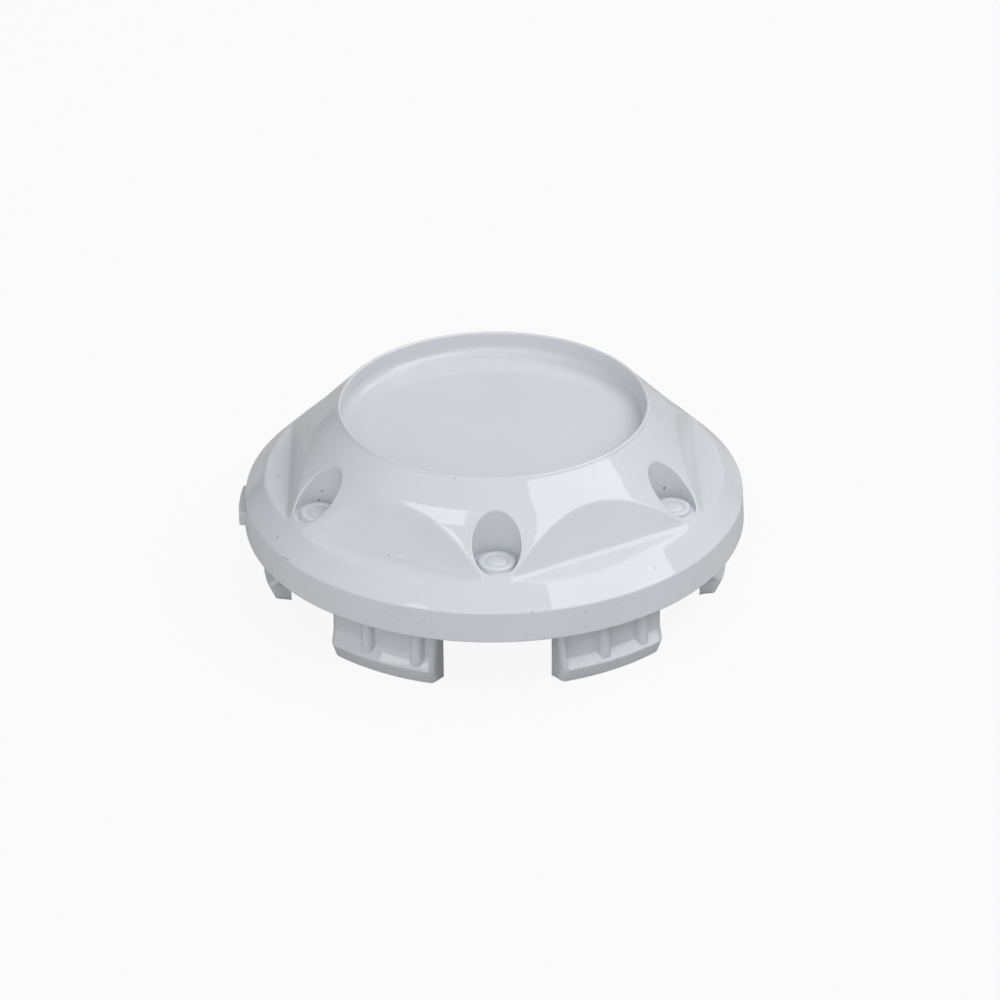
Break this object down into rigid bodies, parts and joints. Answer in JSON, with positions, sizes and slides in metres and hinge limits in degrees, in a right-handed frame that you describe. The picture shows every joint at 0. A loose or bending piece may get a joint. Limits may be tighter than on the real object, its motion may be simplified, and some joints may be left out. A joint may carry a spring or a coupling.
{
  "type": "wheel center cap",
  "caption": "Glossy light grey moulded center cap for a wheel, with a round emblem dish, petal-shaped cuts, dummy-nut pockets and ribbed snap legs.",
  "frame": {"origin": "on the cap's axis, in the plane of the legs' feet, on which the cap stands", "axes": "+Z along the cap's axis out of the wheel, towards the emblem dish; -Y through the front pocket, midway between a pair of legs; +X to that pocket's right, seen from the front"},
  "size_m": [0.1214, 0.12, 0.0459],
  "materials": {
    "painted_plastic": "glossy"
  },
  "bodies": {
    "root": {"center_cap": "painted_plastic"}
  },
  "joints": []
}
